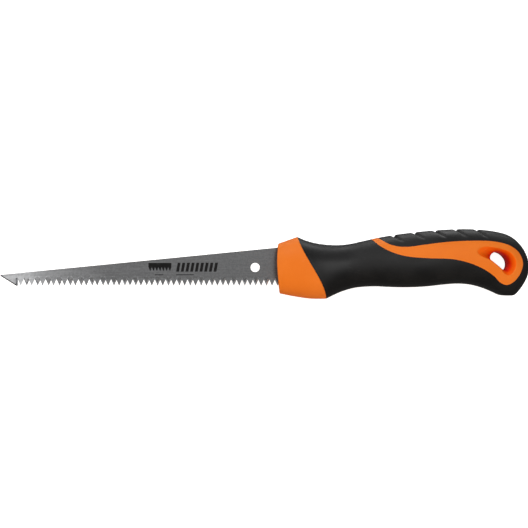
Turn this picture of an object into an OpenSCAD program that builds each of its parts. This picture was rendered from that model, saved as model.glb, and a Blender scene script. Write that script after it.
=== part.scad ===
// Drywall saw: a stiff tapered blade with set, bevel-ground teeth, held by its tang
// in a moulded handle of two hard half cores, orange trim and a soft black grip.
//
// The saw lies on its side. +X runs from the blade's point to the butt of the handle,
// +Y from the teeth to the spine and +Z up through the thickness. The origin is at the
// bottom centre of the whole saw. Sizes are in millimetres.
//
// Shapes are drawn in handle coordinates, where x = 0 is the front of the bolster,
// y = 0 is mid height and z = 0 is the middle of the blade. in_frame() moves them.

/* [Blade] */
// Length of the blade from its point to the bolster
blade_length = 152; // [130:1:170]
// Thickness of the blade steel
blade_thickness = 1.2; // [1:0.1:1.5]
// Height of the blade at the bolster, spine to tooth tips
blade_height = 21.2; // [20:0.1:22]
// Height of the blunted point's lower corner above the line of the tooth tips
point_rise = 5.6; // [4.5:0.1:7]
// Height of the blunted point
point_width = 0.7; // [0.4:0.1:1.2]
// Length of the sharpened slope from the point to its heel
point_slope = 9; // [7:0.1:10]
// Width of the ground bevel along that slope
point_bevel = 0.7; // [0.5:0.1:1.2]
// Diameter of the hanging hole in the blade
hole_diameter = 5; // [4:0.1:6]
// Distance from the bolster to the middle of the hanging hole
hole_setback = 12; // [9:0.1:20]

/* [Teeth] */
// Distance between neighbouring tooth tips
tooth_pitch = 3; // [2.5:0.1:4]
// Depth of the gullets between the teeth
tooth_depth = 4.5; // [3.5:0.1:4.8]
// Angle of the bevels ground across the teeth
fleam_angle = 38; // [10:1:40]
// Sideways lean of the teeth, turn and turn about
set_angle = 4; // [0:0.5:5]

/* [Handle] */
// Length of the handle from the front of the bolster to the butt
handle_length = 138; // [132:1:146]
// Height of the handle from the lowest to the highest point
handle_height = 38.4; // [37:0.1:41]
// Thickness of the handle at the palm
handle_thickness = 28; // [27:0.5:32]
// Thickness of the soft grip over the core
grip_cover = 3; // [2.5:0.1:3.5]
// Number of grooves across the crest of the grip
groove_count = 5; // [3:1:5]
// Depth of each groove
groove_depth = 1.5; // [0.6:0.1:1.8]

/* [Tang] */
// Distance that the tang reaches into the handle
tang_length = 80; // [72:1:90]
// Diameter of the rivets' shanks
rivet_diameter = 4; // [3:0.1:5]
// Diameter of the rivets' heads
rivet_head = 7; // [6:0.1:8]
// Diameter of the moulded locating pegs
peg_diameter = 3; // [2:0.1:4]

/* [Hidden] */

round_fn = 64;      // facets of true round parts
ring_points = 36;   // points round each section of the handle
ring_steps = 2;     // sections between two stations
slack = 0.02;       // gap that keeps fitted pieces from sharing material
tooth_root = 0.5;   // how far a tooth is rooted in the blade
tooth_relief = 0.1; // how much thinner than the blade the teeth are
bevel_share = 0.45; // part of the blade's thickness that each face's bevel takes at the edge
past = 20;          // reach of a cutter beyond what it cuts

steel = [0.55, 0.55, 0.56];
orange = [0.93, 0.45, 0.13];
black = [0.14, 0.14, 0.15];
core_grey = [0.32, 0.33, 0.35];

// Heights of the blade's lines
tooth_line = -12.2;
root_line = tooth_line + tooth_depth;
spine_at_bolster = tooth_line + blade_height;
point_at = [-blade_length, tooth_line + point_rise];
spine_at_point = point_at.y + point_width;
spine_slope = (spine_at_bolster - spine_at_point) / blade_length;
point_heel = point_slope - blade_length;
heel_gap = 2.3; // from the heel of the point to the tip of the first tooth
first_tooth = point_heel + heel_gap;
tooth_count = floor((1 - first_tooth) / tooth_pitch) + 1; // the last runs into the bolster
hole_at = [-hole_setback, -1.9];

// The drawn handle is 138 long, 38.4 high and 28 thick
grow = [handle_length / 138, handle_height / 38.4, handle_thickness / 28];

// Stations of the handle. Each is a section that runs from a point on the upper outline to
// a point on the lower one:
// [upper x, upper y, lower x, lower y, half thickness, squareness, bow, droop of the bow]
bolster_stations = [
    [0.6, 11.2, 1.4, -16.2, 9.6, 2.9, -0.9, 0.3],
    [4.3, 12.5, 9.0, -17.7, 11.7, 2.9, -0.7, 0.9],
    [7.6, 13.7, 18.0, -19.0, 13.1, 2.8, -0.1, 1.6],
    [11.1, 14.9, 26.9, -19.1, 14.0, 2.7, 0.4, 2.2]
];
grip_stations = [
    [11.1, 14.9, 26.9, -19.1, 14.0, 2.7, 0.4, 2.2],
    [16.2, 12.8, 31.2, -17.0, 13.1, 2.5, 0.4, 1.7],
    [22.7, 11.2, 36.2, -14.9, 12.4, 2.3, 0.3, 1.0],
    [31.2, 10.4, 42.2, -13.2, 12.0, 2.2, 0.2, 0.4],
    [39.2, 10.9, 48.2, -12.5, 12.1, 2.2, 0, 0],
    [47.2, 12.6, 54.2, -12.3, 12.6, 2.3, 0, 0],
    [55.8, 14.5, 60.7, -12.6, 13.2, 2.4, 0, 0],
    [65.2, 16.1, 67.7, -12.8, 13.7, 2.5, 0, 0],
    [75.2, 17.4, 75.7, -12.7, 14.0, 2.6, 0, 0],
    [84.2, 18.3, 83.2, -12.2, 14.0, 2.6, 0, 0],
    [93.2, 18.9, 91.2, -11.3, 13.8, 2.6, 0, 0],
    [102.2, 19.2, 98.7, -10.8, 13.4, 2.6, 0, 0],
    [110.7, 18.9, 105.7, -11.3, 13.0, 2.6, 0, 0],
    [118.5, 18.0, 112.2, -12.9, 12.6, 2.6, 0, 0],
    [124.8, 16.6, 118.2, -15.3, 12.2, 2.5, 0, 0],
    [129.4, 14.3, 123.6, -17.8, 11.6, 2.4, 0, 0],
    [132.8, 11.2, 128.6, -18.2, 10.6, 2.3, 0, 0],
    [135.3, 7.8, 132.5, -14.6, 9.2, 2.2, 0, 0],
    [137.0, 3.9, 135.4, -10.4, 7.2, 2.1, 0, 0],
    [137.8, 0.4, 137.0, -6.4, 4.6, 2, 0, 0],
    [138.0, -2.1, 137.8, -3.6, 1.6, 2, 0, 0]
];
core_last_station = 15; // last grip station that the core reaches
core_split = 103;       // the half cores end here and the inlay's own frame begins
toe_level = -17.4;      // the flat under the butt

// Outline of the orange stripe and eye, run past the crest where it crosses it
stripe_outline = [
    [47.3, 18.6], [51.4, 13.7], [55.7, 9.6], [62.5, 6.05], [70.8, 3.95], [81.9, 3.1],
    [93.3, 2.7], [102.5, 0.8], [110.5, -2.45], [116.5, -6.3], [120.2, -9.85],
    [124.2, -11.3], [128.4, -8.9], [131.7, -4.0], [132.7, 1.0], [130.4, 6.5],
    [124.5, 10.4], [115.5, 12.3], [103.7, 12.5], [90.9, 11.8], [78.6, 10.3],
    [69.5, 9.2], [61.9, 10.15], [55.7, 13.7], [51.0, 18.6]
];
// Outline of the opening right through the eye, at its narrowest
eye_outline = [
    [116.5, 3.3], [117.2, 5.4], [119.5, 6.5], [122.9, 5.4], [125.5, 2.7],
    [126.4, -0.2], [125.8, -2.6], [124.3, -3.5], [120.6, -1.1], [117.4, 1.5]
];
// Outline of the hollow that leads into the eye on each side
dish_outline = [
    [107.5, 6.8], [110.0, 9.0], [114.2, 9.3], [120.8, 8.1], [125.6, 6.3],
    [128.3, 3.0], [128.9, -0.2], [127.9, -3.5], [125.2, -6.1], [122.6, -5.3],
    [120.4, -2.6], [117.2, 0.2], [113.2, 2.8], [109.2, 4.4]
];
eye_land = 3;   // height of the eye's straight wall above the middle
dish_top = 12;  // height at which the hollow has its full outline

groove_start = 64.2;
groove_pitch = 11.4;
groove_front = 2.2;  // reach of the gentle wall ahead of the groove's line
groove_back = 1.3;   // reach of the steep wall behind it
groove_bottom = 0.3; // how far behind the line the bottom lies
groove_over = 0.4;   // height above the crest at which the walls end
groove_top = 4;      // height of the cutter above the crest
groove_straight = 4; // half length of the straight part across the crest
groove_end = 9;      // length of each swept end
groove_lap = 0.6;    // overlap of a swept end with the straight part
groove_drop = 0.3;   // how far the crest has fallen at its ends
groove_sweep = 24;   // angle at which the grooves sweep back on each side
groove_fall = 30;    // angle at which they fall away from the crest

// [x, y, height of the head's top above the blade's middle]
rivets = [[31, -1.6, 8.8], [67, 2.8, 10.4]];
pegs = [[17, -2], [49, 0.6]];
head_height = 1.4;
peg_depth = 4;

// Corners of the tang, from its shoulder inside the bolster
tang_shoulder = 4;
tang_waist = 38;
tang_lower = [root_line, -6.4, -1.8];
tang_upper = [5.6, 4.9, 7.6];

// Cells in each half core: [x, y, length, height, depth]
core_cells = [
    [84, -3, 8, 12, 7], [94, -3, 7, 13, 7], [56, 6.4, 5, 4, 5], [71, 8.8, 7, 3, 5],
    [54, -8, 7, 3, 5], [66, -8, 9, 3, 5]
];

// ---------------------------------------------------------------- curves

// One point of a Catmull-Rom curve between b and c
function curve_point(a, b, c, d, t) =
    0.5 * (2 * b + (c - a) * t + (2 * a - 5 * b + 4 * c - d) * t * t
    + (3 * b - a - 3 * c + d) * t * t * t);

// An open curve through all the points of a list
function open_curve(p, steps) = let (last = len(p) - 1) [
    for (i = [0 : last - 1], k = [0 : steps - 1])
        curve_point(p[max(i - 1, 0)], p[i], p[i + 1], p[min(i + 2, last)], k / steps),
    p[last]
];

// A closed curve through all the points of a list
function closed_curve(p, steps) = let (n = len(p)) [
    for (i = [0 : n - 1], k = [0 : steps - 1])
        curve_point(p[(i + n - 1) % n], p[i], p[(i + 1) % n], p[(i + 2) % n], k / steps)
];

// ---------------------------------------------------------------- handle form

function signed_power(v, e) = sign(v) * pow(abs(v), e);

// One section of the handle as a ring of points, drawn inside its own outline by inset
function section(s, inset) =
    let (upper = [s[0], s[1]], lower = [s[2], s[3]])
    let (rise = upper - lower, height = norm(rise), up = rise / height)
    let (half = height / 2 - inset, middle = (upper + lower) / 2, e = 2 / s[5])
    [for (i = [0 : ring_points - 1])
        let (a = 360 * i / ring_points, v = signed_power(cos(a), e))
        let (bow = (1 - v * v) * (s[6] - s[7] * v), p = middle + up * half * v)
        [(p.x + bow) * grow.x, p.y * grow.y, (s[4] - inset) * signed_power(sin(a), e) * grow.z]
    ];

function total(v, i = 0) = i < len(v) ? v[i] + total(v, i + 1) : 0;
function mean_point(ring) = [for (k = [0 : 2]) total([for (p = ring) p[k]]) / len(ring)];

// A closed solid through a list of rings, each end closed by a fan about its middle
module lofted(rings) {
    n = len(rings[0]);
    last = len(rings) - 1;
    front = len(rings) * n;
    points = [for (r = rings) each r, mean_point(rings[0]), mean_point(rings[last])];
    sides = [
        for (r = [0 : last - 1], i = [0 : n - 1])
            let (a = r * n + i, b = r * n + (i + 1) % n)
            each [[a, b + n, b], [a, a + n, b + n]]
    ];
    caps = [
        for (i = [0 : n - 1]) let (j = (i + 1) % n)
            each [[front, i, j], [front + 1, last * n + j, last * n + i]]
    ];
    polyhedron(points, concat(sides, caps), convexity = 6);
}

bolster_rings = [for (s = open_curve(bolster_stations, ring_steps + 1)) section(s, 0)];
grip_rings = [for (s = open_curve(grip_stations, ring_steps)) section(s, 0)];
core_stations = concat(
    [bolster_stations[1], bolster_stations[2]],
    [for (i = [0 : core_last_station]) grip_stations[i]]
);
core_rings = [for (s = core_stations) section(s, grip_cover)];

// Height of the crest of the grip above any x
crest = [for (s = open_curve(grip_stations, ring_steps)) [s[0] * grow.x, s[1] * grow.y]];

// Extent of the saw, which puts the origin at its bottom centre
low_y = min([for (r = bolster_rings, p = r) p.y]);
high_y = max([for (r = grip_rings, p = r) p.y]);
half_z = max([for (r = grip_rings, p = r) p.z]);
centre_x = (handle_length - blade_length) / 2;

module in_frame() {
    translate([-centre_x, -(low_y + high_y) / 2, half_z]) children();
}

module slab(height) {
    translate([0, 0, -height / 2]) linear_extrude(height) children();
}

// A closed outline in drawn handle coordinates, at the handle's own size
module outline(points, steps) {
    scale([grow.x, grow.y]) polygon(closed_curve(points, steps));
}

module core_form() {
    lofted(core_rings);
}

module before_split() {
    translate([-past, -2 * past, -2 * past]) cube([past + core_split * grow.x, 4 * past, 4 * past]);
}

module stripe_prism() {
    slab(4 * past) outline(stripe_outline, 3);
}

// Takes the toe of the butt down to its flat
module toe_cut() {
    translate([core_split * grow.x, toe_level * grow.y - past, -2 * past])
        cube([4 * past, past, 4 * past]);
}

// ---------------------------------------------------------------- blade

module tang_outline(gap = 0) {
    polygon([
        [tang_shoulder, tang_lower[0] - gap], [tang_waist, tang_lower[1] - gap],
        [tang_length + gap, tang_lower[2] - gap], [tang_length + gap, tang_upper[2] + gap],
        [tang_waist, tang_upper[1] + gap], [tang_shoulder, tang_upper[0] + gap]
    ]);
}

module blade_outline() {
    polygon([
        [point_at.x, spine_at_point], point_at, [point_heel, tooth_line],
        [first_tooth, tooth_line], [first_tooth, root_line], [tang_shoulder, root_line],
        [tang_shoulder, spine_at_bolster + spine_slope * tang_shoulder]
    ]);
}

// What is ground away beyond one flank. Below the root line the flank leans back by reach
// at the tooth line, and the grinding runs across the blade at the fleam angle.
module flank_grind(reach, side) {
    deeper = 1 + 1 / tooth_depth;
    rotate([0, side * fleam_angle, 0]) slab(past / 2) polygon([
        [0, 0], [-reach * deeper * cos(fleam_angle), -tooth_depth * deeper],
        [past, -tooth_depth * deeper], [past, 0]
    ]);
}

// One tooth, pointed on the face that it leans towards. The first leans up, the next down,
// and the last, at the bolster, stands straight.
module tooth(i) {
    side = i % 2 == 0 ? 1 : -1;
    lean = i < tooth_count - 1 ? set_angle : 0;
    reach = (tooth_pitch + blade_thickness * tan(fleam_angle)) / 2;
    translate([first_tooth + i * tooth_pitch, root_line, 0]) rotate([-side * lean, 0, 0])
        difference() {
            slab(blade_thickness - tooth_relief) translate([-tooth_pitch, -tooth_depth])
                square([2 * tooth_pitch, tooth_depth + tooth_root]);
            for (flank = [0, 1]) mirror([flank, 0, 0]) translate([tooth_pitch / 2, 0, 0])
                flank_grind(reach, side);
        }
}

// The ground bevel along the slope behind the point, on both faces
module point_grind() {
    for (side = [-1, 1])
        translate([point_at.x, point_at.y, 0]) rotate([0, 0, -atan2(point_rise, point_slope)])
            translate([-past / 2, point_bevel, side * blade_thickness / 2])
                rotate([side * atan2(blade_thickness * bevel_share, point_bevel), 0, 0])
                    translate([0, -3 * point_bevel, side - 1])
                        cube([past / 2 + 1.5 * point_slope, 3 * point_bevel, 2]);
}

// Round posts or holes of one diameter along the tang, one to each place
module posts(places, diameter, bottom, top) {
    for (p = places) translate([p.x * grow.x, p.y, bottom])
        cylinder(d = diameter, h = top - bottom, $fn = round_fn);
}

module saw_blade() {
    color(steel) in_frame() {
        difference() {
            slab(blade_thickness) union() {
                blade_outline();
                tang_outline();
            }
            translate([hole_at.x, hole_at.y, 0])
                cylinder(d = hole_diameter, h = past, center = true, $fn = round_fn);
            posts(rivets, rivet_diameter + 2 * slack, -past, past);
            posts(pegs, peg_diameter + 2 * slack, -past, past);
            point_grind();
            translate([point_heel, root_line, 0]) flank_grind(0, -1);
        }
        for (i = [0 : tooth_count - 1]) tooth(i);
    }
}

// ---------------------------------------------------------------- core

// Room for the tang between the half cores
module tang_pocket() {
    slab(blade_thickness + 2 * slack) tang_outline(slack);
    translate([-past, tooth_line - slack, -blade_thickness / 2 - slack])
        cube([past + tang_shoulder + slack, blade_height + 2, blade_thickness + 2 * slack]);
}

// Seats of the rivet heads
module head_seats() {
    for (r = rivets) translate([r.x * grow.x, r.y, r.z - head_height])
        cylinder(d = rivet_head + 2 * slack, h = past, $fn = round_fn);
}

// Cored-out cells that keep the walls of the moulding thin
module cells() {
    for (c = core_cells) translate([c[0] * grow.x, c[1], -past]) cube([c[2], c[3], past + c[4]]);
}

// Half of the core, above the blade's middle
module half_core() {
    difference() {
        intersection() {
            core_form();
            before_split();
            translate([-past, -past * 2, 0]) cube([handle_length, past * 4, past * 2]);
        }
        tang_pocket();
        head_seats();
        cells();
        posts(rivets, rivet_diameter + 2 * slack, -past, past);
    }
}

module core_upper() {
    color(core_grey) in_frame() {
        half_core();
        posts(pegs, peg_diameter, -peg_depth, 2);
    }
}

module core_lower() {
    color(core_grey) in_frame() difference() {
        mirror([0, 0, 1]) half_core();
        posts(pegs, peg_diameter + 2 * slack, -peg_depth - slack, 2);
    }
}

module tang_rivets() {
    color(steel) in_frame() for (r = rivets) translate([r.x * grow.x, r.y, 0]) {
        cylinder(d = rivet_diameter, h = 2 * r.z - head_height, center = true, $fn = round_fn);
        for (side = [-1, 1]) translate([0, 0, side * (r.z - head_height / 2)])
            cylinder(d = rivet_head, h = head_height, center = true, $fn = round_fn);
    }
}

// ---------------------------------------------------------------- orange mouldings

module bolster() {
    color(orange) in_frame() difference() {
        lofted(bolster_rings);
        core_form();
        tang_pocket();
    }
}

// The opening through the eye and the hollow that leads into it on each side
module eye_cut() {
    slab(4 * past) outline(eye_outline, 3);
    for (side = [0, 1]) mirror([0, 0, side]) hull() {
        translate([0, 0, eye_land]) linear_extrude(0.1) outline(eye_outline, 2);
        translate([0, 0, dish_top]) linear_extrude(past) outline(dish_outline, 2);
    }
}

module orange_inlay() {
    color(orange) in_frame() difference() {
        union() {
            difference() {
                intersection() {
                    lofted(grip_rings);
                    stripe_prism();
                }
                intersection() {
                    core_form();
                    before_split();
                }
            }
            difference() {
                core_form();
                before_split();
            }
        }
        eye_cut();
    }
}

// ---------------------------------------------------------------- soft grip

// Section of a groove, with a gentle front wall and a steep back one
module groove_section() {
    polygon([
        [-groove_front, groove_over], [groove_bottom, -groove_depth],
        [groove_back, groove_over], [groove_back, groove_top], [-groove_front, groove_top]
    ]);
}

// One groove straight across the crest, swept back and falling away at each end
module crest_groove(x) {
    translate([x * grow.x, lookup(x * grow.x, crest), 0]) {
        slab(2 * groove_straight) groove_section();
        for (side = [0, 1]) mirror([0, 0, side])
            translate([0, -groove_drop, groove_straight - groove_lap])
                rotate([groove_fall, groove_sweep, 0])
                    linear_extrude(groove_end) groove_section();
    }
}

module grip_skin() {
    color(black) in_frame() difference() {
        lofted(grip_rings);
        stripe_prism();
        core_form();
        toe_cut();
        for (i = [0 : groove_count - 1]) crest_groove(groove_start + i * groove_pitch);
    }
}

saw_blade();
core_upper();
core_lower();
tang_rivets();
bolster();
orange_inlay();
grip_skin();
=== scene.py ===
import math

import bmesh
import bpy
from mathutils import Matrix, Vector


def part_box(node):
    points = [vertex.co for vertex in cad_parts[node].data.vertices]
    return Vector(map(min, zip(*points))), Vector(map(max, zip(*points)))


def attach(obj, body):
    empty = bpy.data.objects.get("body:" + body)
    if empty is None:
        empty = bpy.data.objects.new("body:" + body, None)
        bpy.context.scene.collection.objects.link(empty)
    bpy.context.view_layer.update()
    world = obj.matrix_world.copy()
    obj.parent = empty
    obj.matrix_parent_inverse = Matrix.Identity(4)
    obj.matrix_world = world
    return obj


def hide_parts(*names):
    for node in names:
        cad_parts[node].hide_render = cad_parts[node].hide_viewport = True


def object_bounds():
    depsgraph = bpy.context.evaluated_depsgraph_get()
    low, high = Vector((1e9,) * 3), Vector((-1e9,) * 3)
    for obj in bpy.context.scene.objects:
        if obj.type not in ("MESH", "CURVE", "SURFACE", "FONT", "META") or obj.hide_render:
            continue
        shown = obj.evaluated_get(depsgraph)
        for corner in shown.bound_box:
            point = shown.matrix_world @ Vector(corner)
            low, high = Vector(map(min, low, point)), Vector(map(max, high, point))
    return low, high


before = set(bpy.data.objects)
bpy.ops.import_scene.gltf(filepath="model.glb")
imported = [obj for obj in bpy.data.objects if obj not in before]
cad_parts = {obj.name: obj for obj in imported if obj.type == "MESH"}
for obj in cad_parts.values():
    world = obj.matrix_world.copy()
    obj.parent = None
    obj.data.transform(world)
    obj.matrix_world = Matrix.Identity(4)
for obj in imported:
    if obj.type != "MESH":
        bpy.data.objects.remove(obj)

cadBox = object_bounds()
mm = 0.001

# Drawn handle coordinates: x from the front of the bolster, y and z from the middle of the
# tang, in mm. The middle of the two rivets is known in them, which gives the origin.
rivetMiddle = Vector((49, 0.6, 0))
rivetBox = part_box("tang_rivets")
handleOrigin = (rivetBox[0] + rivetBox[1]) / 2 - rivetMiddle * mm
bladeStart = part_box("saw_blade")[0].x   # the point of the blade


def place(x, y, z=0.0):
    return handleOrigin + Vector((x, y, z)) * mm


# curves and sections

def curveValue(a, b, c, d, t):
    return 0.5 * (2 * b + (c - a) * t + (2 * a - 5 * b + 4 * c - d) * t * t
                  + (3 * b - a - 3 * c + d) * t ** 3)


def curveBetween(points, i, t, closed=False):
    count = len(points)
    if closed:
        near = [points[(i + k) % count] for k in (-1, 0, 1, 2)]
    else:
        near = [points[min(max(i + k, 0), count - 1)] for k in (-1, 0, 1, 2)]
    return [curveValue(*four, t) for four in zip(*near)]


def closedCurve(points, steps):
    return [curveBetween(points, i, k / steps, True)
            for i in range(len(points)) for k in range(steps)]


def signedPower(value, power):
    return math.copysign(abs(value) ** power, value)


def evenAngles(squareness, count):
    # angles that put the points of a squared oval at even distances
    samples = 360
    power = 2 / squareness
    spots = [(signedPower(math.cos(a), power), signedPower(math.sin(a), power))
             for a in (math.pi / 2 * k / samples for k in range(samples + 1))]
    reach = [0.0]
    for p, q in zip(spots, spots[1:]):
        reach.append(reach[-1] + math.dist(p, q))
    quarter, k = [], 0
    for i in range(count // 4):
        wanted = reach[-1] * i / (count // 4)
        while reach[k + 1] < wanted:
            k += 1
        part = (wanted - reach[k]) / (reach[k + 1] - reach[k])
        quarter.append(math.pi / 2 * (k + part) / samples)
    mirrored = [0.0] + [math.pi / 2 - a for a in quarter[:0:-1]]
    return [a + math.pi / 2 * turn for turn in range(4)
            for a in (mirrored if turn % 2 else quarter)]


def sectionRing(station, inset, count, dent=None, even=True):
    upper, lower = Vector(station[0:2]), Vector(station[2:4])
    rise = upper - lower
    half = rise.length / 2 - inset
    up, middle = rise.normalized(), (upper + lower) / 2
    squareness, bow, droop = station[5:8]
    power = 2 / squareness
    if even:
        angles = evenAngles(squareness, count)
    else:
        angles = [math.tau * i / count for i in range(count)]
    ring = []
    for a in angles:
        v = signedPower(math.cos(a), power)
        shift = (1 - v * v) * (bow - droop * v)
        spot = middle + up * half * v
        x, y = spot.x + shift, spot.y
        z = (station[4] - inset) * signedPower(math.sin(a), power)
        if dent:
            depth = dent(x, y, upper.y)
            pull = Vector((0, y - middle.y, z)).normalized() * depth
            y, z = y - pull.y, z - pull.z
        ring.append(place(x, y, z))
    return ring


# modelling

def deselectAll():
    bpy.ops.object.select_all(action="DESELECT")


def activate(piece):
    deselectAll()
    piece.select_set(True)
    bpy.context.view_layer.objects.active = piece


def newPrimitive(name, add, **settings):
    deselectAll()
    add(**settings)
    piece = bpy.context.object
    piece.name = piece.data.name = name
    return piece


def editAll():
    bpy.ops.object.mode_set(mode="EDIT")
    bpy.ops.mesh.select_all(action="SELECT")


def endEdit():
    bpy.ops.mesh.select_all(action="SELECT")
    bpy.ops.mesh.normals_make_consistent(inside=False)
    bpy.ops.object.mode_set(mode="OBJECT")


def putRing(piece, ring):
    mesh = bmesh.from_edit_mesh(piece.data)
    spot = mesh.verts.layers.int["spot"]
    for vert in mesh.verts:
        if vert.select:
            vert.co = ring[vert[spot]]
    bmesh.update_edit_mesh(piece.data)


def loft(name, rings):
    # a circle laid on the first ring and extruded through the others
    piece = newPrimitive(name, bpy.ops.mesh.primitive_circle_add,
                         vertices=len(rings[0]), radius=mm)
    editAll()
    mesh = bmesh.from_edit_mesh(piece.data)
    spot = mesh.verts.layers.int.new("spot")
    for i, vert in enumerate(mesh.verts):
        vert[spot] = i
    putRing(piece, rings[0])
    for ring in rings[1:]:
        bpy.ops.mesh.extrude_region_move()
        putRing(piece, ring)
    bpy.ops.mesh.select_all(action="SELECT")
    bpy.ops.mesh.fill_holes(sides=0)
    bpy.ops.mesh.select_all(action="DESELECT")
    bpy.ops.mesh.select_face_by_sides(number=4, type="GREATER")
    bpy.ops.mesh.poke()
    endEdit()
    piece.data.attributes.remove(piece.data.attributes["spot"])
    return piece


def prism(name, outline, low, high):
    # a flat outline extruded from one height to another
    piece = newPrimitive(name, bpy.ops.mesh.primitive_circle_add,
                         vertices=len(outline), radius=mm, fill_type="NGON")
    for vert, (x, y) in zip(piece.data.vertices, outline):
        vert.co = place(x, y, low)
    editAll()
    bpy.ops.mesh.extrude_region_move(
        TRANSFORM_OT_translate={"value": (0, 0, (high - low) * mm)})
    endEdit()
    return piece


def block(name, low, high):
    low, high = place(*low), place(*high)
    piece = newPrimitive(name, bpy.ops.mesh.primitive_cube_add, size=1,
                         location=(low + high) / 2, scale=high - low)
    bpy.ops.object.transform_apply(location=True, rotation=True, scale=True)
    return piece


def copyOf(piece, name):
    other = piece.copy()
    other.data = piece.data.copy()
    other.name = other.data.name = name
    bpy.context.scene.collection.objects.link(other)
    return other


def carve(piece, tool, operation="DIFFERENCE", keep=False):
    cutter = piece.modifiers.new("carve", "BOOLEAN")
    cutter.operation, cutter.solver, cutter.object = operation, "EXACT", tool
    activate(piece)
    bpy.ops.object.modifier_apply(modifier=cutter.name)
    if not keep:
        bpy.data.objects.remove(tool)


def dropFlaps(piece):
    # removes faces that lie on each other in pairs and enclose nothing
    bpy.ops.mesh.select_all(action="DESELECT")
    mesh = bmesh.from_edit_mesh(piece.data)
    groups = {}
    for face in mesh.faces:
        groups.setdefault(frozenset(face.verts), []).append(face)
    for group in groups.values():
        for face in group if len(group) > 1 else []:
            face.select_set(True)
    bmesh.update_edit_mesh(piece.data)
    bpy.ops.mesh.delete(type="FACE")


# distances in metres, angles in degrees
finish = {"mergeWithin": 0.002 * mm, "shortest": 0.001 * mm, "formAngle": 34, "inkAngle": 30}


def finishPiece(piece, node, material, angle):
    activate(piece)
    for face in piece.data.polygons:
        face.material_index = 0
    for vert in piece.data.vertices:   # the denser sections bulge a few thousandths of a mm
        vert.co = [min(max(c, low), high) for c, low, high in zip(vert.co, *cadBox)]
    editAll()
    bpy.ops.mesh.remove_doubles(threshold=finish["mergeWithin"])
    bpy.ops.mesh.dissolve_degenerate(threshold=finish["shortest"])
    bpy.ops.mesh.quads_convert_to_tris(quad_method="BEAUTY", ngon_method="BEAUTY")
    dropFlaps(piece)
    endEdit()
    piece.data.materials.clear()
    piece.data.materials.append(material)
    bpy.ops.object.shade_smooth_by_angle(angle=math.radians(angle))
    if node:
        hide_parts(node)
    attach(piece, "root")
    print("piece", piece.name, len(piece.data.polygons), "faces")


# materials

def newTree(material):
    material.use_nodes = True
    tree = material.node_tree
    tree.nodes.clear()
    return tree


def addNode(tree, kind, inputs=None, **settings):
    node = tree.nodes.new(kind)
    for key, value in settings.items():
        setattr(node, key, value)
    for key, value in (inputs or {}).items():
        if isinstance(value, bpy.types.NodeSocket):
            tree.links.new(value, node.inputs[key])
        else:
            node.inputs[key].default_value = value
    return node


def mathNode(tree, operation, *values, clamp=False):
    node = addNode(tree, "ShaderNodeMath", operation=operation, use_clamp=clamp)
    for i, value in enumerate(values):
        if isinstance(value, bpy.types.NodeSocket):
            tree.links.new(value, node.inputs[i])
        else:
            node.inputs[i].default_value = value
    return node.outputs[0]


def rangeNode(tree, value, fromLow, fromHigh, toLow=0.0, toHigh=1.0, smooth=True):
    node = addNode(tree, "ShaderNodeMapRange",
                   {"Value": value, "From Min": fromLow, "From Max": fromHigh,
                    "To Min": toLow, "To Max": toHigh},
                   interpolation_type="SMOOTHSTEP" if smooth else "LINEAR")
    return node.outputs["Result"]


def mixColor(tree, factor, a, b, blend="MIX"):
    node = addNode(tree, "ShaderNodeMix", data_type="RGBA", blend_type=blend)
    for i, value in ((0, factor), (6, a), (7, b)):
        if isinstance(value, bpy.types.NodeSocket):
            tree.links.new(value, node.inputs[i])
        elif i:
            node.inputs[i].default_value = (*value, 1)
        else:
            node.inputs[i].default_value = value
    return node.outputs[2]


def newGroup(name, inputs, outputs):
    group = bpy.data.node_groups.new(name, "ShaderNodeTree")
    for label, kind, value in inputs:
        socket = group.interface.new_socket(label, in_out="INPUT", socket_type=kind)
        if value is not None:
            socket.default_value = value
    for label, kind in outputs:
        group.interface.new_socket(label, in_out="OUTPUT", socket_type=kind)
    return group, group.nodes.new("NodeGroupInput").outputs, group.nodes.new("NodeGroupOutput")


# scales are counts per metre, and ranges are where a noise starts and ends to count
grainLook = {"pitShare": 0.5, "mottle": (0.3, 0.7)}
scuffLook = {"turn": 0.35, "lines": (250.0, 3500.0, 1500.0), "patches": 90.0,
             "lineRange": (0.62, 0.7), "patchRange": (0.5, 0.66)}


def makeGrain():
    # the fine spark-eroded texture of a mould, and slow mottling of its gloss
    group, given, out = newGroup(
        "mouldGrain",
        [("Vector", "NodeSocketVector", None), ("Cells per m", "NodeSocketFloat", 4000.0),
         ("Mottle per m", "NodeSocketFloat", 60.0)],
        [("Height", "NodeSocketFloat"), ("Mottle", "NodeSocketFloat")])
    fine = addNode(group, "ShaderNodeTexNoise",
                   {"Vector": given[0], "Scale": given[1], "Detail": 2.0, "Roughness": 0.6})
    pits = addNode(group, "ShaderNodeTexVoronoi", {"Vector": given[0], "Scale": given[1]},
                   feature="SMOOTH_F1")
    slow = addNode(group, "ShaderNodeTexNoise",
                   {"Vector": given[0], "Scale": given[2], "Detail": 4.0})
    height = mathNode(group, "MULTIPLY_ADD", pits.outputs["Distance"], grainLook["pitShare"],
                      fine.outputs["Fac"])
    group.links.new(height, out.inputs["Height"])
    mottle = rangeNode(group, slow.outputs["Fac"], *grainLook["mottle"])
    group.links.new(mottle, out.inputs["Mottle"])
    return group


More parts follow.
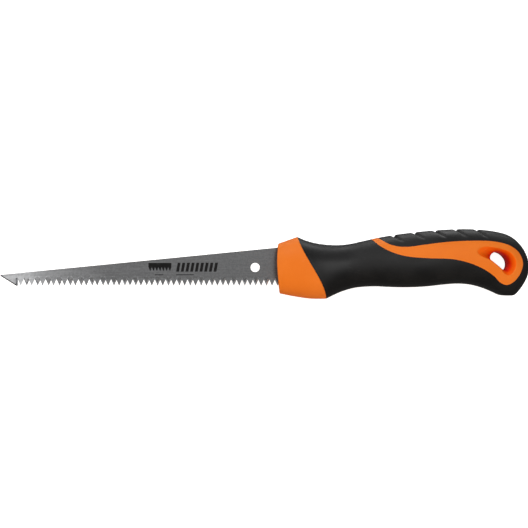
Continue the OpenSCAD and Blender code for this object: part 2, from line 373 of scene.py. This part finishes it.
def makeScuffs():
    # short fine scratches in scattered patches
    group, given, out = newGroup(
        "scuffs",
        [("Vector", "NodeSocketVector", None), ("Amount", "NodeSocketFloat", 0.5)],
        [("Mask", "NodeSocketFloat")])
    stretched = addNode(group, "ShaderNodeMapping",
                        {"Vector": given[0], "Rotation": (0, 0, scuffLook["turn"]),
                         "Scale": scuffLook["lines"]})
    lines = addNode(group, "ShaderNodeTexNoise",
                    {"Vector": stretched.outputs[0], "Scale": 1.0, "Detail": 2.0})
    patches = addNode(group, "ShaderNodeTexNoise",
                      {"Vector": given[0], "Scale": scuffLook["patches"], "Detail": 3.0})
    sharp = rangeNode(group, lines.outputs["Fac"], *scuffLook["lineRange"])
    where = rangeNode(group, patches.outputs["Fac"], *scuffLook["patchRange"])
    both = mathNode(group, "MULTIPLY", sharp, where)
    group.links.new(mathNode(group, "MULTIPLY", both, given[1], clamp=True), out.inputs["Mask"])
    return group


mouldGrain, scuffs = makeGrain(), makeScuffs()


def addGroup(tree, group, inputs):
    node = addNode(tree, "ShaderNodeGroup")
    node.node_tree = group
    for key, value in inputs.items():
        if isinstance(value, bpy.types.NodeSocket):
            tree.links.new(value, node.inputs[key])
        else:
            node.inputs[key].default_value = value
    return node.outputs


def startMaterial(name):
    material = bpy.data.materials.new(name)
    tree = newTree(material)
    shader = tree.nodes.new("ShaderNodeBsdfPrincipled")
    out = tree.nodes.new("ShaderNodeOutputMaterial")
    tree.links.new(shader.outputs[0], out.inputs[0])
    where = tree.nodes.new("ShaderNodeTexCoord").outputs["Object"]
    return material, tree, shader, where


def addBump(tree, shader, height, distance, strength):
    bump = addNode(tree, "ShaderNodeBump",
                   {"Height": height, "Distance": distance, "Strength": strength})
    tree.links.new(bump.outputs[0], shader.inputs["Normal"])


# light and dark are the two colours mottled together, cells are counts per metre
plasticLook = {
    "orangePlastic": {
        "light": (0.80, 0.19, 0.018), "dark": (0.765, 0.172, 0.013), "rough": (0.5, 0.62),
        "cells": 3000.0, "bump": 0.03 * mm, "scuffColor": (0.85, 0.33, 0.12), "scuffs": 0.2,
        "gloss": 0.13,
        # painted shade down in the eye: colours by depth that stand in for the shade and the orange
        # light bounced round the hollow, and the depths in mm over which they come in
        "hollows": [((0.86, 0.125, 0.002), (0.02, 0.45)), ((0.80, 0.024, 0.001), (1.6, 6.5))]},
    "softBlack": {
        "light": (0.0085, 0.0085, 0.0087), "dark": (0.0045, 0.0045, 0.0047),
        "rough": (0.46, 0.58), "cells": 2200.0, "bump": 0.06 * mm,
        "scuffColor": (0.05, 0.05, 0.052), "scuffs": 0.3, "gloss": 0.25},
    "coreGrey": {
        "light": (0.085, 0.09, 0.10), "dark": (0.06, 0.063, 0.07), "rough": (0.5, 0.65),
        "cells": 2500.0, "bump": 0.04 * mm, "scuffColor": (0.12, 0.12, 0.13), "scuffs": 0.2,
        "gloss": 0.5},
    "markingInk": {
        "light": (0.007, 0.007, 0.007), "dark": (0.003, 0.003, 0.003), "rough": (0.45, 0.6),
        "cells": 6000.0, "bump": 0.005 * mm, "scuffColor": (0.08, 0.08, 0.08), "scuffs": 0.5,
        "gloss": 0.12},
}
plasticBump, plasticScuffRough = 0.35, 0.1


def makePlastic(name):
    look = plasticLook[name]
    material, tree, shader, where = startMaterial(name)
    height, mottle = addGroup(tree, mouldGrain, {"Vector": where, "Cells per m": look["cells"]})
    mask = addGroup(tree, scuffs, {"Vector": where, "Amount": look["scuffs"]})[0]
    colour = mixColor(tree, mottle, look["dark"], look["light"])
    # painted shade: the eye's hollow is drawn darker and redder with depth, in place of its shade
    # and bounced orange light
    if "hollows" in look:   # by the depth in mm kept on the piece
        depth = addNode(tree, "ShaderNodeAttribute", attribute_name="hollow").outputs["Fac"]
        for paintedShadeColor, depths in look["hollows"]:
            colour = mixColor(tree, rangeNode(tree, depth, *depths), colour, paintedShadeColor)
    scuffed = mixColor(tree, mask, colour, look["scuffColor"])
    tree.links.new(scuffed, shader.inputs["Base Color"])
    roughness = rangeNode(tree, mottle, 0, 1, *look["rough"])
    roughness = mathNode(tree, "MULTIPLY_ADD", mask, plasticScuffRough, roughness)
    tree.links.new(roughness, shader.inputs["Roughness"])
    shader.inputs["Specular IOR Level"].default_value = look["gloss"]
    addBump(tree, shader, height, look["bump"], plasticBump)
    return material


orangePlastic, softBlack, coreGrey, markingInk = [makePlastic(name) for name in plasticLook]

steelLook = {
    "sheet": 0.106, "metal": 0.5, "rough": (0.38, 0.52), "roughLines": (0.3, 0.7),
    "lines": (60.0, 5000.0, 2000.0), "blotches": 900.0, "speckle": (0.76, 1.24, 1.0, 1.42),
    "scuffs": 0.6, "scuffTone": 0.4, "bumpDepth": 0.01 * mm, "bump": 0.25,
    # painted reflection: brightness of the blade at distances from its point, in mm, brighter
    # toward the point
    "paintedReflection": [(0, 4.1), (16, 3.9), (19, 3.0), (25, 2.35), (40, 1.65), (60, 1.13), (110, 0.9),
              (150, 0.76)],
    # the ground facets: how far they lean, their brightness and tint
    "groundTilt": (0.9, 0.96), "ground": 0.5, "groundBlotches": (0.35, 0.65, 0.6, 1.25),
    "groundTint": (0.93, 1.0, 1.1), "tintShare": (0.4, 1.0),
    # the bevel along the point is drawn darker, up to this far from the tip, in mm
    "bevelDark": 0.2, "bevelEnd": 8.7, "bevelBlend": 0.1,
    # pale arcs left by the grinding wheel above every second tooth, in mm
    "arcStart": 14.3, "arcFirst": 17.6, "arcPitch": 6.0, "arcMiddle": -8.2, "arcRadius": 1.5,
    "arcWidth": 0.36, "arcRise": 0.6, "arcBlotches": (0.42, 0.6, 0.0, 1.2),
    "arcFade": (0.1, 1.0, 0.5, 0.2),
}


def grindArcs(tree, spot):
    # a ring mask that repeats along the tooth line
    start = bladeStart + steelLook["arcStart"] * mm
    first = bladeStart + steelLook["arcFirst"] * mm
    pitch = steelLook["arcPitch"] * mm
    along = mathNode(tree, "SUBTRACT", spot[0], start - pitch / 2)
    across = mathNode(tree, "SUBTRACT", mathNode(tree, "FLOORED_MODULO", along, pitch), pitch / 2)
    up = mathNode(tree, "SUBTRACT", spot[1], handleOrigin.y + steelLook["arcMiddle"] * mm)
    squares = mathNode(tree, "MULTIPLY_ADD", up, up, mathNode(tree, "MULTIPLY", across, across))
    away = mathNode(tree, "SUBTRACT", mathNode(tree, "SQRT", squares), steelLook["arcRadius"] * mm)
    away = mathNode(tree, "ABSOLUTE", away)
    ring = rangeNode(tree, away, 0.0, steelLook["arcWidth"] * mm, 1.0, 0.0)
    ring = mathNode(tree, "MULTIPLY", ring, rangeNode(tree, up, 0.0, steelLook["arcRise"] * mm))
    return mathNode(tree, "MULTIPLY", ring, mathNode(tree, "GREATER_THAN", spot[0], first))


def bladeTone(tree, where, tone, blotches):
    # the sheet's tone along the blade with a painted reflection brightening it toward the point,
    # and the ground facets' own, with a mask of the facets
    spot = addNode(tree, "ShaderNodeSeparateXYZ", {"Vector": where}).outputs
    # painted reflection: a ramp along the blade makes the steel brighter toward its point
    reach, most = steelLook["paintedReflection"][-1][0], steelLook["paintedReflection"][0][1]
    along = rangeNode(tree, spot[0], bladeStart, bladeStart + reach * mm, smooth=False)
    ramp = addNode(tree, "ShaderNodeValToRGB", {"Fac": along})
    stops = ramp.color_ramp.elements
    for i, (away, bright) in enumerate(steelLook["paintedReflection"]):
        stop = stops[i] if i < 2 else stops.new(away / reach)
        stop.position = away / reach
        stop.color = (bright / most, bright / most, bright / most, 1)
    tone = mathNode(tree, "MULTIPLY", tone, mathNode(tree, "MULTIPLY", ramp.outputs[0], most))
    broken = rangeNode(tree, blotches, *steelLook["arcBlotches"])
    arcs = mathNode(tree, "MULTIPLY", grindArcs(tree, spot), broken)
    arcs = mathNode(tree, "MULTIPLY", arcs, rangeNode(tree, along, *steelLook["arcFade"]))
    tone = mathNode(tree, "MULTIPLY", tone, mathNode(tree, "ADD", arcs, 1.0))
    normal = addNode(tree, "ShaderNodeNewGeometry").outputs["True Normal"]
    facing = addNode(tree, "ShaderNodeSeparateXYZ", {"Vector": normal}).outputs[2]
    tilted = rangeNode(tree, mathNode(tree, "ABSOLUTE", facing), *steelLook["groundTilt"], 1.0, 0.0)
    bare = rangeNode(tree, blotches, *steelLook["groundBlotches"])
    bare = mathNode(tree, "MULTIPLY", bare, steelLook["ground"])
    bevelEnd = bladeStart + steelLook["bevelEnd"] * mm
    bevel = rangeNode(tree, spot[0], bevelEnd, bevelEnd + steelLook["bevelBlend"] * mm,
                      steelLook["bevelDark"], 1.0)
    bare = mathNode(tree, "MULTIPLY", bare, bevel)
    return addNode(tree, "ShaderNodeMix", {0: tilted, 2: tone, 3: bare}).outputs[0], tilted


def makeSteel(name, blade):
    material, tree, shader, where = startMaterial(name)
    stretched = addNode(tree, "ShaderNodeMapping", {"Vector": where, "Scale": steelLook["lines"]})
    lines = addNode(tree, "ShaderNodeTexNoise",
                    {"Vector": stretched.outputs[0], "Scale": 1.0, "Detail": 3.0}).outputs["Fac"]
    blotches = addNode(tree, "ShaderNodeTexNoise",
                       {"Vector": where, "Scale": steelLook["blotches"], "Detail": 4.0,
                        "Roughness": 0.65}).outputs["Fac"]
    mask = addGroup(tree, scuffs, {"Vector": where, "Amount": steelLook["scuffs"]})[0]
    speckle = rangeNode(tree, mathNode(tree, "ADD", blotches, lines), *steelLook["speckle"])
    tone = mathNode(tree, "MULTIPLY", speckle, steelLook["sheet"])
    if blade:
        tone, tilted = bladeTone(tree, where, tone, blotches)
    scuffTone = mathNode(tree, "MULTIPLY_ADD", mask, steelLook["scuffTone"], 1.0)
    tone = mathNode(tree, "MULTIPLY", tone, scuffTone)
    if blade:
        share = rangeNode(tree, tilted, 0, 1, *steelLook["tintShare"])
        tint = mixColor(tree, share, (1, 1, 1), steelLook["groundTint"])
        tone = mixColor(tree, 1.0, tone, tint, "MULTIPLY")
    tree.links.new(tone, shader.inputs["Base Color"])
    roughness = rangeNode(tree, lines, *steelLook["roughLines"], *steelLook["rough"])
    tree.links.new(roughness, shader.inputs["Roughness"])
    shader.inputs["Metallic"].default_value = steelLook["metal"]
    addBump(tree, shader, lines, steelLook["bumpDepth"], steelLook["bump"])
    return material


bladeSteel, rivetSteel = makeSteel("bladeSteel", True), makeSteel("rivetSteel", False)
print("materials made")

for nodeName, material in (("saw_blade", bladeSteel), ("tang_rivets", rivetSteel),
                           ("core_upper", coreGrey), ("core_lower", coreGrey)):
    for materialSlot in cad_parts[nodeName].material_slots:
        materialSlot.material = material


# handle forms

# in mm: split is where the front core ends, past is how far tools reach beyond the handle
handle = {
    "ringPoints": 128, "coreRingPoints": 36, "cover": 3.0, "clearance": 0.05, "spacing": 1.1,
    "coreStations": 16, "length": 138.0, "split": 103.0, "past": 20.0, "stripeSteps": 10,
    "toeLevel": -17.4, "toeSoftness": 0.45, "toeReach": 12,   # reach in softnesses
    # upper x, upper y, lower x, lower y, half thickness, squareness, bow, droop of the bow
    "bolster": [
        (0.6, 11.2, 1.4, -16.2, 9.6, 2.9, -0.9, 0.3),
        (4.3, 12.5, 9.0, -17.7, 11.7, 2.9, -0.7, 0.9),
        (7.6, 13.7, 18.0, -19.0, 13.1, 2.8, -0.1, 1.6),
        (11.1, 14.9, 26.9, -19.1, 14.0, 2.7, 0.4, 2.2)],
    "grip": [
        (11.1, 14.9, 26.9, -19.1, 14.0, 2.7, 0.4, 2.2),
        (16.2, 12.8, 31.2, -17.0, 13.1, 2.5, 0.4, 1.7),
        (22.7, 11.2, 36.2, -14.9, 12.4, 2.3, 0.3, 1.0),
        (31.2, 10.4, 42.2, -13.2, 12.0, 2.2, 0.2, 0.4),
        (39.2, 10.9, 48.2, -12.5, 12.1, 2.2, 0, 0), (47.2, 12.6, 54.2, -12.3, 12.6, 2.3, 0, 0),
        (55.8, 14.5, 60.7, -12.6, 13.2, 2.4, 0, 0), (65.2, 16.1, 67.7, -12.8, 13.7, 2.5, 0, 0),
        (75.2, 17.4, 75.7, -12.7, 14.0, 2.6, 0, 0), (84.2, 18.3, 83.2, -12.2, 14.0, 2.6, 0, 0),
        (93.2, 18.9, 91.2, -11.3, 13.8, 2.6, 0, 0), (102.2, 19.2, 98.7, -10.8, 13.4, 2.6, 0, 0),
        (110.7, 18.9, 105.7, -11.3, 13.0, 2.6, 0, 0), (118.5, 18.0, 112.2, -12.9, 12.6, 2.6, 0, 0),
        (124.8, 16.6, 118.2, -15.3, 12.2, 2.5, 0, 0), (129.4, 14.3, 123.6, -17.8, 11.6, 2.4, 0, 0),
        (132.8, 11.2, 128.6, -18.2, 10.6, 2.3, 0, 0), (135.3, 7.8, 132.5, -14.6, 9.2, 2.2, 0, 0),
        (137.0, 3.9, 135.4, -10.4, 7.2, 2.1, 0, 0), (137.8, 0.4, 137.0, -6.4, 4.6, 2, 0, 0),
        (138.0, -2.1, 137.8, -3.6, 1.6, 2, 0, 0)],
    "stripe": [
        (47.3, 18.6), (51.4, 13.7), (55.7, 9.6), (62.5, 6.05), (70.8, 3.95), (81.9, 3.1),
        (93.3, 2.7), (102.5, 0.8), (110.5, -2.45), (116.5, -6.3), (120.2, -9.85),
        (124.2, -11.3), (128.4, -8.9), (131.7, -4.0), (132.7, 1.0), (130.4, 6.5),
        (124.5, 10.4), (115.5, 12.3), (103.7, 12.5), (90.9, 11.8), (78.6, 10.3), (69.5, 9.2),
        (61.9, 10.15), (55.7, 13.7), (51.0, 18.6)],
}

grooves = {
    "first": 64.2, "pitch": 11.4, "count": 5, "depth": 1.5, "front": 2.4, "back": 1.1,
    "sweep": 0.9, "fadeFrom": 0.9, "fadeTo": 4.6, "fadePower": 0.8, "slopePower": 1.25,
    "spacing": 0.36, "from": 60.0, "to": 115.0,
}


def grooveDent(x, y, crestY):
    drop = crestY - y
    faded = (drop - grooves["fadeFrom"]) / (grooves["fadeTo"] - grooves["fadeFrom"])
    fade = 1 - min(max(faded, 0), 1)
    if fade <= 0:
        return 0.0
    u = x - grooves["sweep"] * drop - grooves["first"]
    nearest = min(max(round(u / grooves["pitch"]), 0), grooves["count"] - 1)
    u -= nearest * grooves["pitch"]
    slope = 1 + u / grooves["front"] if u < 0 else 1 - u / grooves["back"]
    if slope <= 0:
        return 0.0
    return grooves["depth"] * fade ** grooves["fadePower"] * slope ** grooves["slopePower"]


def denseStations(stations, spacing, fineSpacing):
    dense = []
    for i in range(len(stations) - 1):
        length = max(math.dist(stations[i][0:2], stations[i + 1][0:2]),
                     math.dist(stations[i][2:4], stations[i + 1][2:4]))
        grooved = stations[i + 1][0] > grooves["from"] and stations[i][0] < grooves["to"]
        steps = math.ceil(length / (fineSpacing if grooved else spacing))
        dense += [curveBetween(stations, i, k / steps) for k in range(steps)]
    return dense + [list(stations[-1])]


def coreTool(name, clearance):
    stations = handle["bolster"][1:3] + handle["grip"][:handle["coreStations"]]
    inset = handle["cover"] - clearance
    return loft(name, [sectionRing(s, inset, handle["coreRingPoints"], even=False)
                       for s in stations])


def splitBlock(name, front):
    past = handle["past"]
    if front:
        ends = -past, handle["split"]
    else:
        ends = handle["split"], handle["length"] + past
    return block(name, (ends[0], -2 * past, -2 * past), (ends[1], 2 * past, 2 * past))


def flatToe(ring):
    # keeps the butt above the flat of its toe, with soft corners
    level, soft = place(0, handle["toeLevel"]).y, handle["toeSoftness"] * mm
    if ring[0].x < place(handle["split"], 0).x:
        return ring
    return [Vector((v.x, level + soft * math.log1p(math.exp((v.y - level) / soft)), v.z))
            if v.y - level < handle["toeReach"] * soft else v for v in ring]


gripStations = denseStations(handle["grip"], handle["spacing"], grooves["spacing"])
gripForm = loft("gripForm", [flatToe(sectionRing(s, 0, handle["ringPoints"], grooveDent))
                             for s in gripStations])
stripeTool = prism("stripeTool", closedCurve(handle["stripe"], handle["stripeSteps"]),
                   -2 * handle["past"], 2 * handle["past"])
print("handle forms made", len(gripStations), "sections")


# soft grip

softGrip = copyOf(gripForm, "softGrip")
carve(softGrip, stripeTool, keep=True)
carve(softGrip, coreTool("gripCoreTool", handle["clearance"]))
finishPiece(softGrip, "grip_skin", softBlack, finish["formAngle"])


# orange inlay with the hanging eye

eye = {
    "middle": (121.5, 1.0), "spokes": 96, "steps": 8, "land": 3.0, "probeIn": 0.2,
    "above": 40.0, "missHeight": 10.0, "parallel": 1e-9,
    "opening": [
        (116.5, 3.3), (117.2, 5.4), (119.5, 6.5), (122.9, 5.4), (125.5, 2.7), (126.4, -0.2),
        (125.8, -2.6), (124.3, -3.5), (120.6, -1.1), (117.4, 1.5)],
    "hollow": [
        (107.5, 6.8), (110.0, 9.0), (114.2, 9.3), (120.8, 8.1), (125.6, 6.3), (128.3, 3.0),
        (128.9, -0.2), (127.9, -3.5), (125.2, -6.1), (122.6, -5.3), (120.4, -2.6), (117.2, 0.2),
        (113.2, 2.8), (109.2, 4.4)],
    # along the wall from the land to the rim: share of the way out, share of the way up
    "wall": [(0.0, 0.0), (0.06, 0.22), (0.17, 0.42), (0.32, 0.6), (0.5, 0.75), (0.68, 0.86),
             (0.84, 0.94)],
    # rounds the rim over: mm outwards, mm up from the surface
    "rim": [(0.0, -0.2), (0.35, -0.03), (0.8, 0.06), (1.4, 0.5), (3.0, 6.0)],
}


def spokeHit(outline, angle):
    # where a ray from the middle of the eye at an angle meets an outline
    middle = Vector(eye["middle"])
    ray = Vector((math.cos(angle), math.sin(angle)))
    for p, q in zip(outline, outline[1:] + outline[:1]):
        a, b = Vector(p) - middle, Vector(q) - middle
        across = b - a
        cross = ray.x * across.y - ray.y * across.x
        if abs(cross) < eye["parallel"]:
            continue
        share = (a.y * ray.x - a.x * ray.y) / cross
        reach = (a.x * across.y - a.y * across.x) / cross
        if 0 <= -share <= 1 and reach > 0:
            return middle + ray * reach
    raise ValueError("no outline at that angle")


def surfaceHeight(x, y):
    hit, spot = gripForm.ray_cast(place(x, y, eye["above"]), Vector((0, 0, -1)))[:2]
    return (spot.z - handleOrigin.z) / mm if hit else eye["missHeight"]


def eyeTool():
    angles = [math.tau * k / eye["spokes"] for k in range(eye["spokes"])]
    inner = [spokeHit(closedCurve(eye["opening"], eye["steps"]), a) for a in angles]
    outer = [spokeHit(closedCurve(eye["hollow"], eye["steps"]), a) for a in angles]
    ways = [(q - p).normalized() for p, q in zip(inner, outer)]
    tops = [surfaceHeight(*(q - w * eye["probeIn"])) for q, w in zip(outer, ways)]
    half = []
    for out, up in eye["wall"]:
        half.append([(*p.lerp(q, out), eye["land"] + (t - eye["land"]) * up)
                     for p, q, t in zip(inner, outer, tops)])
    for out, up in eye["rim"]:
        half.append([(*(q + w * out), t + up) for q, w, t in zip(outer, ways, tops)])
    rings = [[(x, y, -z) for x, y, z in ring] for ring in half[::-1]] + half
    return loft("eyeTool", [[place(*spot) for spot in ring] for ring in rings])


def markHollow(piece):
    # depth in mm below the form's surface inside the hollow, and 0 everywhere else; it sets the
    # painted shade in the eye
    values = [0.0] * len(piece.data.vertices)
    for face in piece.data.polygons:
        if face.material_index == 1:
            for i in face.vertices:
                x, y, z = (piece.data.vertices[i].co - handleOrigin) / mm
                values[i] = max(surfaceHeight(x, y) - abs(z), 0)
    attribute = piece.data.attributes.new("hollow", "FLOAT", "POINT")
    attribute.data.foreach_set("value", values)


orangeInlay = copyOf(gripForm, "orangeInlay")
carve(orangeInlay, stripeTool, "INTERSECT")
frontCore = coreTool("frontCore", handle["clearance"])
carve(frontCore, splitBlock("frontBlock", True), "INTERSECT")
carve(orangeInlay, frontCore)
rearFrame = coreTool("rearFrame", 0)
carve(rearFrame, splitBlock("rearBlock", False), "INTERSECT")
carve(orangeInlay, rearFrame, "UNION")
orangeInlay.data.materials.clear()
for look in (orangePlastic, orangePlastic):   # the second slot marks the eye's own faces
    orangeInlay.data.materials.append(look)
eyeCutter = eyeTool()
for look in (orangePlastic, orangePlastic):
    eyeCutter.data.materials.append(look)
for face in eyeCutter.data.polygons:
    face.material_index = 1
carve(orangeInlay, eyeCutter)
markHollow(orangeInlay)
finishPiece(orangeInlay, "orange_inlay", orangePlastic, finish["formAngle"])


# bolster

# front and rear are the radii of the end edges, the mouth and the gap clear the blade and tang
bolster = {
    "front": 0.5, "rear": 0.45, "steps": 5, "sections": 24,
    "mouth": (-12.22, 9.02), "mouthDepth": 4.05, "halfGap": 0.62,
    "tang": [(4, -7.72), (38, -6.42), (80.02, -1.82), (80.02, 7.62), (38, 4.92), (4, 5.62)],
}


def roundedRings(stations, radiusFront, radiusRear):
    # sections of a form whose two end edges are rounded over
    rings = []
    turns = [math.pi / 2 * k / bolster["steps"] for k in range(bolster["steps"] + 1)]
    length = math.dist(stations[0][0:2], stations[-1][0:2])
    for turn in turns:
        rings.append((radiusFront * (1 - math.cos(turn)) / length,
                      radiusFront * (1 - math.sin(turn))))
    inner = [k / bolster["sections"] for k in range(1, bolster["sections"])]
    rings += [(t, 0.0) for t in inner if radiusFront / length < t < 1 - radiusRear / length]
    for turn in turns[::-1]:
        rings.append((1 - radiusRear * (1 - math.cos(turn)) / length,
                      radiusRear * (1 - math.sin(turn))))
    return rings


bolsterRings = []
bolsterSpan = len(handle["bolster"]) - 1
for share, inset in roundedRings(handle["bolster"], bolster["front"], bolster["rear"]):
    index = min(int(share * bolsterSpan), bolsterSpan - 1)
    station = curveBetween(handle["bolster"], index, share * bolsterSpan - index)
    bolsterRings.append(sectionRing(station, inset, handle["ringPoints"]))
bolsterShell = loft("bolsterShell", bolsterRings)
carve(bolsterShell, coreTool("bolsterCoreTool", handle["clearance"]))
gap = bolster["halfGap"]
mouthLow, mouthHigh = bolster["mouth"]
carve(bolsterShell, block("mouthTool", (-handle["past"], mouthLow, -gap),
                          (bolster["mouthDepth"], mouthHigh, gap)))
carve(bolsterShell, prism("tangTool", bolster["tang"], -gap, gap))
finishPiece(bolsterShell, "bolster", orangePlastic, finish["formAngle"])

bpy.data.objects.remove(gripForm)


# print on the blade: a plain toothed strip, a row of slanted bars and two fine rules

ink = {
    "low": 0.59, "high": 0.625,
    "strip": (-70.6, -1.7, -58.0, 0.6), "teeth": 7, "toothDepth": 2.3, "toothLean": 0.6,
    "bars": 9, "barsBox": (-55.4, -4.2, -32.4, 0.7), "barWidth": 1.55, "slant": 0.9,
    "rules": [(-67.0, -6.1, -62.4, -5.75), (-55.4, -6.1, -45.6, -5.7)],
}


def inkRectangle(box):
    x0, y0, x1, y1 = box
    return [(x0, y0), (x1, y0), (x1, y1), (x0, y1)]


def joinPieces(pieces, name):
    deselectAll()
    for piece in pieces:
        piece.select_set(True)
    bpy.context.view_layer.objects.active = pieces[0]
    bpy.ops.object.join()
    pieces[0].name = pieces[0].data.name = name
    return pieces[0]


def inkPrism(outline):
    return prism("inkPart", outline, ink["low"], ink["high"])


x0, y0, x1, y1 = ink["strip"]
step = (x1 - x0) / ink["teeth"]
edge = [(x0, y1)]
for i in range(ink["teeth"]):
    edge += [(x0 + step * i, y0),
             (x0 + step * (i + ink["toothLean"]), y0 - ink["toothDepth"])]
inkStrip = inkPrism(edge + [(x1, y0), (x1, y1)])
inkStrip.name = inkStrip.data.name = "inkStrip"
finishPiece(inkStrip, None, markingInk, finish["inkAngle"])

x0, y0, x1, y1 = ink["barsBox"]
step = (x1 - x0 - ink["barWidth"] - ink["slant"]) / (ink["bars"] - 1)
strokes = []
for i in range(ink["bars"]):
    left = x0 + step * i
    right = left + ink["barWidth"]
    strokes.append(inkPrism([(left, y0), (right, y0),
                             (right + ink["slant"], y1), (left + ink["slant"], y1)]))
strokes += [inkPrism(inkRectangle(box)) for box in ink["rules"]]
inkBars = joinPieces(strokes, "inkBars")
finishPiece(inkBars, None, markingInk, finish["inkAngle"])


# stage, light and camera

stageLook = {"floor": (0.75, 0.75, 0.75), "size": 6, "rough": 0.9, "glow": 0.95, "room": 0.18}
floor = newPrimitive("floor", bpy.ops.mesh.primitive_plane_add, size=stageLook["size"])
floorMaterial, floorTree, floorShader = startMaterial("paleFloor")[:3]
floorShader.inputs["Base Color"].default_value = (*stageLook["floor"], 1)
floorShader.inputs["Roughness"].default_value = stageLook["rough"]
floorShader.inputs["Emission Color"].default_value = (1, 1, 1, 1)
seen = addNode(floorTree, "ShaderNodeLightPath").outputs["Is Camera Ray"]
glow = mathNode(floorTree, "MULTIPLY", seen, stageLook["glow"])   # only the camera sees it glow
floorTree.links.new(glow, floorShader.inputs["Emission Strength"])
floor.data.materials.append(floorMaterial)
floor.visible_glossy = False

# lamps point at the saw unless they have an aim of their own
lamps = {
    "key": {"spot": (-0.50, 0.52, 0.60), "size": 0.5, "power": 5.2, "gloss": True,
            "diffuse": True},
    "overhead": {"spot": (0.24, 0.23, 1.1), "size": 0.32, "power": 4.6, "gloss": True,
                 "diffuse": True},
    "fill": {"spot": (0.20, -0.60, 0.40), "size": 0.6, "power": 2.6, "gloss": False,
             "diffuse": True, "colour": (1.0, 0.77, 0.55)},
    "sheen": {"spot": (0.15, 0.75, 0.45), "size": 0.7, "power": 0.6, "gloss": True,
              "diffuse": False},
    "edge": {"spot": (0.075, 0.095, 0.002), "size": 0.3, "depth": 0.11, "power": 0.28,
             "gloss": True, "diffuse": False, "aim": (0, 0, 1)},
}
for lampName, look in lamps.items():
    lamp = bpy.data.lights.new(lampName, "AREA")
    lamp.shape, lamp.size, lamp.energy = "ELLIPSE", look["size"], look["power"]
    lamp.size_y = look.get("depth", look["size"])
    holder = bpy.data.objects.new(lampName, lamp)
    bpy.context.scene.collection.objects.link(holder)
    holder.location = look["spot"]
    holder.visible_glossy, holder.visible_diffuse = look["gloss"], look["diffuse"]
    holder.visible_camera = False
    lamp.color = look.get("colour", (1, 1, 1))
    aim = Vector(look["aim"]) if "aim" in look else -Vector(look["spot"])
    holder.rotation_euler = aim.to_track_quat("-Z", "Y").to_euler()

world = bpy.data.worlds.new("softRoom")
bpy.context.scene.world = world
roomTree = newTree(world)
roomLight = addNode(roomTree, "ShaderNodeBackground",
                    {"Color": (1, 1, 1, 1), "Strength": stageLook["room"]})
roomOut = roomTree.nodes.new("ShaderNodeOutputWorld")
roomTree.links.new(roomLight.outputs[0], roomOut.inputs[0])

# the camera looks straight down from this far above the spot, in mm, and clips in metres
view = {"spot": (-0.13, -0.03, 14.03), "distance": 550.0, "lens": 68.2, "sensor": 36.0,
        "clip": (0.02, 20.0)}
camera = bpy.data.objects.new("camera", bpy.data.cameras.new("camera"))
bpy.context.scene.collection.objects.link(camera)
camera.location = Vector(view["spot"]) * mm + Vector((0, 0, view["distance"] * mm))
camera.data.lens, camera.data.sensor_width = view["lens"], view["sensor"]
camera.data.clip_start, camera.data.clip_end = view["clip"]
bpy.context.scene.camera = camera
bpy.context.scene.view_settings.view_transform = "Standard"
print("stage, light and camera made")
